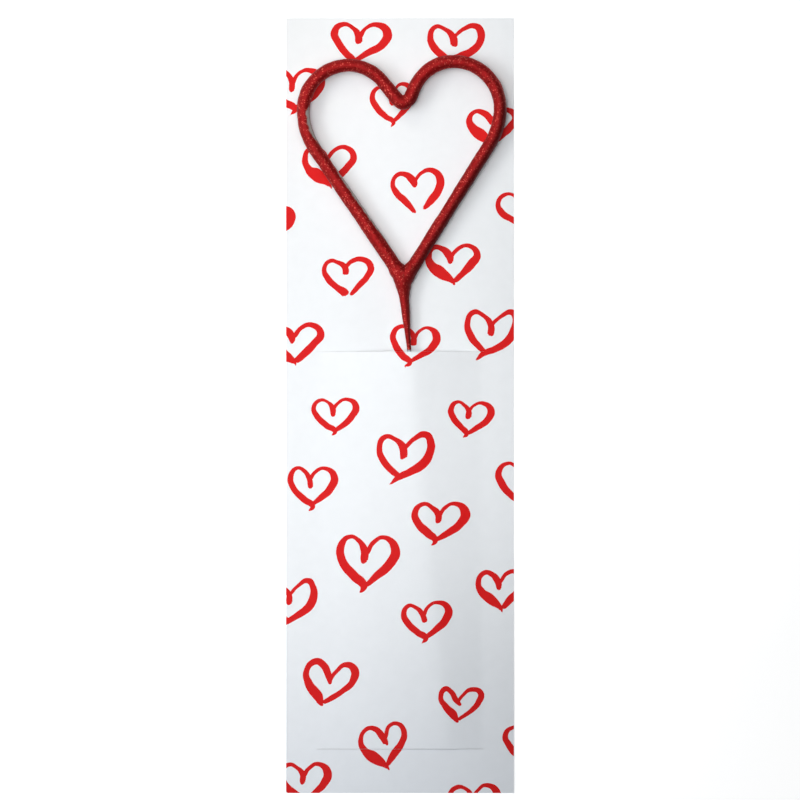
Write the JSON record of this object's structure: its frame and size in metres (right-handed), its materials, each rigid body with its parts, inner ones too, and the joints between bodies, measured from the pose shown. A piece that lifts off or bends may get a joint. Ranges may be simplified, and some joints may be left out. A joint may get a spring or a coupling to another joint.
{
  "type": "sparkler",
  "caption": "Heart-shaped wire sparkler with a dark red glitter coat, its bare stem tucked through a slit in a narrow white card printed with red brushed hearts.",
  "frame": {"origin": "centre of the card's back, which lies on the table", "axes": "+X across the card to the right, +Y along the card towards the heart, +Z out of the printed face"},
  "size_m": [0.06, 0.204, 0.0055],
  "materials": {
    "coated_board": "satin",
    "steel_wire": "satin",
    "spark_compound": "matte",
    "red_coat": "gloss"
  },
  "bodies": {
    "card": {"card": "coated_board"},
    "sparkler": {"core_wire": "steel_wire", "spark_compound": "spark_compound", "red_coat": "red_coat"}
  },
  "joints": [
    {"name": "sparkler_slide", "type": "slide", "parent": "card", "child": "sparkler", "axis": [-0.0941, 0.9954, 0.0203], "range_m": [0, 0.085]}
  ]
}
